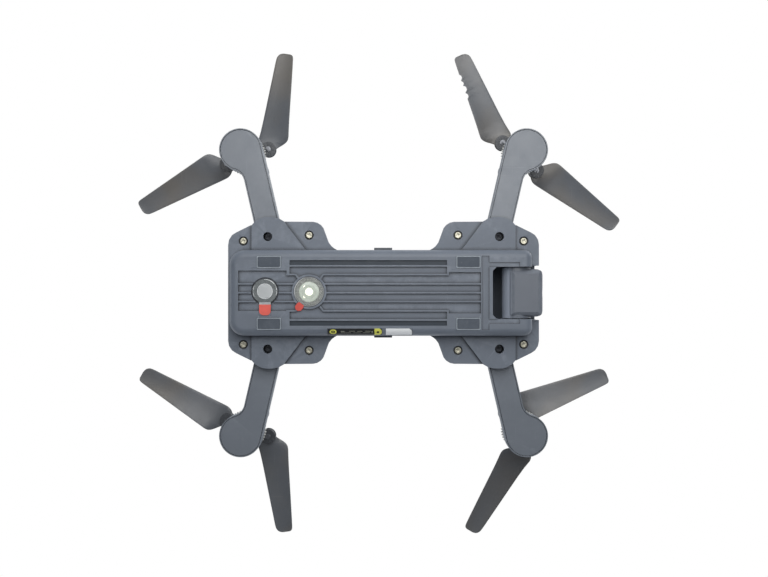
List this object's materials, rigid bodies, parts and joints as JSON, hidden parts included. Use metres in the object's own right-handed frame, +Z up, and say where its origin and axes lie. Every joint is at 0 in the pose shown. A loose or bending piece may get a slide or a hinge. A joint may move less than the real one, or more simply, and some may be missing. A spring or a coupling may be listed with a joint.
{
  "type": "foldable mini quadcopter drone",
  "caption": "Palm-size folding quadcopter with ribbed belly, swing-in arms, hinged rotor blades, tilting nose camera and a rear slide-out battery.",
  "frame": {"origin": "point of the flat belly plane midway between the four arm pivots", "axes": "+Z up, away from the belly and towards the rotors; the nose and its camera face -Y; the aircraft's left is +X"},
  "size_m": [0.2254, 0.2259, 0.0384],
  "materials": {
    "slate_shell": "fine matte grey-blue moulded plastic",
    "dark_plastic": "dark matte plastic",
    "rubber_pad": "dark grey rubber",
    "blade": "satin warm grey nylon",
    "screw_steel": "bright nickel-plated steel",
    "dark_steel": "dark steel",
    "film": "clear protective film",
    "red_tab": "coral red film tab",
    "label": "printed label film",
    "reflector": "bright reflector",
    "led": "frosted lamp",
    "lens": "dark coated lens",
    "board": "solder-masked circuit board",
    "cell": "wrapped battery cell",
    "motor_can": "satin aluminium can",
    "bronze": "sintered bronze",
    "gear": "natural acetal"
  },
  "bodies": {
    "airframe": {"belly_shell": "slate_shell", "mid_frame": "slate_shell", "top_shell": "slate_shell", "shell_screws": "screw_steel", "pivot_screws": "dark_steel", "foot_pads": "rubber_pad", "belly_camera": "dark_plastic", "lamp_reflector": "reflector", "lamp_led": "led", "protective_films": "film", "pull_tabs": "red_tab", "side_labels": "label", "main_board": "board"},
    "battery": {"battery_case": "slate_shell", "battery_cell": "cell"},
    "latch_left": {"latch_left": "dark_plastic"},
    "latch_right": {"latch_right": "dark_plastic"},
    "power_button": {"power_button": "dark_plastic"},
    "camera": {"camera_head": "dark_plastic", "camera_lens": "lens"},
    "arm_rear_left": {"arm_shell_rear_left": "slate_shell", "arm_cover_rear_left": "slate_shell", "motor_rear_left": "motor_can", "bushes_rear_left": "bronze"},
    "rotor_rear_left": {"drive_gear_rear_left": "gear", "rotor_hub_rear_left": "dark_plastic", "blade_pins_rear_left": "screw_steel"},
    "pinion_rear_left": {"pinion_rear_left": "gear"},
    "blade_a_rear_left": {"blade_a_rear_left": "blade"},
    "blade_b_rear_left": {"blade_b_rear_left": "blade"},
    "arm_front_left": {"arm_shell_front_left": "slate_shell", "arm_cover_front_left": "slate_shell", "motor_front_left": "motor_can", "bushes_front_left": "bronze"},
    "rotor_front_left": {"drive_gear_front_left": "gear", "rotor_hub_front_left": "dark_plastic", "blade_pins_front_left": "screw_steel"},
    "pinion_front_left": {"pinion_front_left": "gear"},
    "blade_a_front_left": {"blade_a_front_left": "blade"},
    "blade_b_front_left": {"blade_b_front_left": "blade"},
    "arm_rear_right": {"arm_shell_rear_right": "slate_shell", "arm_cover_rear_right": "slate_shell", "motor_rear_right": "motor_can", "bushes_rear_right": "bronze"},
    "rotor_rear_right": {"drive_gear_rear_right": "gear", "rotor_hub_rear_right": "dark_plastic", "blade_pins_rear_right": "screw_steel"},
    "pinion_rear_right": {"pinion_rear_right": "gear"},
    "blade_a_rear_right": {"blade_a_rear_right": "blade"},
    "blade_b_rear_right": {"blade_b_rear_right": "blade"},
    "arm_front_right": {"arm_shell_front_right": "slate_shell", "arm_cover_front_right": "slate_shell", "motor_front_right": "motor_can", "bushes_front_right": "bronze"},
    "rotor_front_right": {"drive_gear_front_right": "gear", "rotor_hub_front_right": "dark_plastic", "blade_pins_front_right": "screw_steel"},
    "pinion_front_right": {"pinion_front_right": "gear"},
    "blade_a_front_right": {"blade_a_front_right": "blade"},
    "blade_b_front_right": {"blade_b_front_right": "blade"}
  },
  "joints": [
    {"name": "battery_slide", "type": "slide", "parent": "airframe", "child": "battery", "axis": [0, 1, 0], "range_m": [0, 0.075]},
    {"name": "latch_left_press", "type": "slide", "parent": "battery", "child": "latch_left", "axis": [-1, 0, 0], "range_m": [0, 0.0008]},
    {"name": "latch_right_press", "type": "slide", "parent": "battery", "child": "latch_right", "axis": [1, 0, 0], "range_m": [0, 0.0008]},
    {"name": "power_press", "type": "slide", "parent": "airframe", "child": "power_button", "axis": [0, 0, -1], "range_m": [0, 0.0005]},
    {"name": "camera_tilt", "type": "hinge", "parent": "airframe", "child": "camera", "pos_m": [0, -0.0583, 0.0085], "axis": [1, 0, 0], "range_deg": [-10, 60]},
    {"name": "fold_rear_left", "type": "hinge", "parent": "airframe", "child": "arm_rear_left", "pos_m": [0.0247, 0.0509, 0.0158], "axis": [0, 0, 1], "range_deg": [-103, 0]},
    {"name": "spin_rear_left", "type": "hinge", "parent": "arm_rear_left", "child": "rotor_rear_left", "pos_m": [0.06363, 0.06363, 0.024], "axis": [0, 0, 1], "continuous": true},
    {"name": "pinion_spin_rear_left", "type": "hinge", "parent": "arm_rear_left", "child": "pinion_rear_left", "pos_m": [0.05524, 0.05684, 0.0301], "axis": [0, 0, 1], "continuous": true},
    {"name": "blade_a_hinge_rear_left", "type": "hinge", "parent": "rotor_rear_left", "child": "blade_a_rear_left", "pos_m": [0.05991, 0.07313, 0.0354], "axis": [0, 0, 1], "range_deg": [-97.8, 82.2]},
    {"name": "blade_b_hinge_rear_left", "type": "hinge", "parent": "rotor_rear_left", "child": "blade_b_rear_left", "pos_m": [0.06735, 0.05414, 0.0354], "axis": [0, 0, 1], "range_deg": [-149.4, 30.6]},
    {"name": "fold_front_left", "type": "hinge", "parent": "airframe", "child": "arm_front_left", "pos_m": [0.0247, -0.0509, 0.0158], "axis": [0, 0, 1], "range_deg": [0, 103]},
    {"name": "spin_front_left", "type": "hinge", "parent": "arm_front_left", "child": "rotor_front_left", "pos_m": [0.06363, -0.06363, 0.024], "axis": [0, 0, 1], "continuous": true},
    {"name": "pinion_spin_front_left", "type": "hinge", "parent": "arm_front_left", "child": "pinion_front_left", "pos_m": [0.05524, -0.05684, 0.0301], "axis": [0, 0, 1], "continuous": true},
    {"name": "blade_a_hinge_front_left", "type": "hinge", "parent": "rotor_front_left", "child": "blade_a_front_left", "pos_m": [0.05364, -0.0616, 0.0354], "axis": [0, 0, 1], "range_deg": [-172, 8]},
    {"name": "blade_b_hinge_front_left", "type": "hinge", "parent": "rotor_front_left", "child": "blade_b_front_left", "pos_m": [0.07363, -0.06567, 0.0354], "axis": [0, 0, 1], "range_deg": [-133.6, 46.4]},
    {"name": "fold_rear_right", "type": "hinge", "parent": "airframe", "child": "arm_rear_right", "pos_m": [-0.0247, 0.0509, 0.0158], "axis": [0, 0, 1], "range_deg": [0, 103]},
    {"name": "spin_rear_right", "type": "hinge", "parent": "arm_rear_right", "child": "rotor_rear_right", "pos_m": [-0.06363, 0.06363, 0.024], "axis": [0, 0, 1], "continuous": true},
    {"name": "pinion_spin_rear_right", "type": "hinge", "parent": "arm_rear_right", "child": "pinion_rear_right", "pos_m": [-0.05524, 0.05684, 0.0301], "axis": [0, 0, 1], "continuous": true},
    {"name": "blade_a_hinge_rear_right", "type": "hinge", "parent": "rotor_rear_right", "child": "blade_a_rear_right", "pos_m": [-0.06019, 0.07324, 0.0354], "axis": [0, 0, 1], "range_deg": [-81.9, 98.1]},
    {"name": "blade_b_hinge_rear_right", "type": "hinge", "parent": "rotor_rear_right", "child": "blade_b_rear_right", "pos_m": [-0.06707, 0.05403, 0.0354], "axis": [0, 0, 1], "range_deg": [-29.3, 150.7]},
    {"name": "fold_front_right", "type": "hinge", "parent": "airframe", "child": "arm_front_right", "pos_m": [-0.0247, -0.0509, 0.0158], "axis": [0, 0, 1], "range_deg": [-103, 0]},
    {"name": "spin_front_right", "type": "hinge", "parent": "arm_front_right", "child": "rotor_front_right", "pos_m": [-0.06363, -0.06363, 0.024], "axis": [0, 0, 1], "continuous": true},
    {"name": "pinion_spin_front_right", "type": "hinge", "parent": "arm_front_right", "child": "pinion_front_right", "pos_m": [-0.05524, -0.05684, 0.0301], "axis": [0, 0, 1], "continuous": true},
    {"name": "blade_a_hinge_front_right", "type": "hinge", "parent": "rotor_front_right", "child": "blade_a_front_right", "pos_m": [-0.07012, -0.05576, 0.0354], "axis": [0, 0, 1], "range_deg": [-115.8, 64.2]},
    {"name": "blade_b_hinge_front_right", "type": "hinge", "parent": "rotor_front_right", "child": "blade_b_front_right", "pos_m": [-0.05715, -0.0715, 0.0354], "axis": [0, 0, 1], "range_deg": [-85.6, 94.4]}
  ],
  "couplings": [
    {"joint": "pinion_spin_rear_left", "follows": "spin_rear_left", "ratio": -4.4},
    {"joint": "pinion_spin_front_left", "follows": "spin_front_left", "ratio": -4.4},
    {"joint": "pinion_spin_rear_right", "follows": "spin_rear_right", "ratio": -4.4},
    {"joint": "pinion_spin_front_right", "follows": "spin_front_right", "ratio": -4.4}
  ]
}
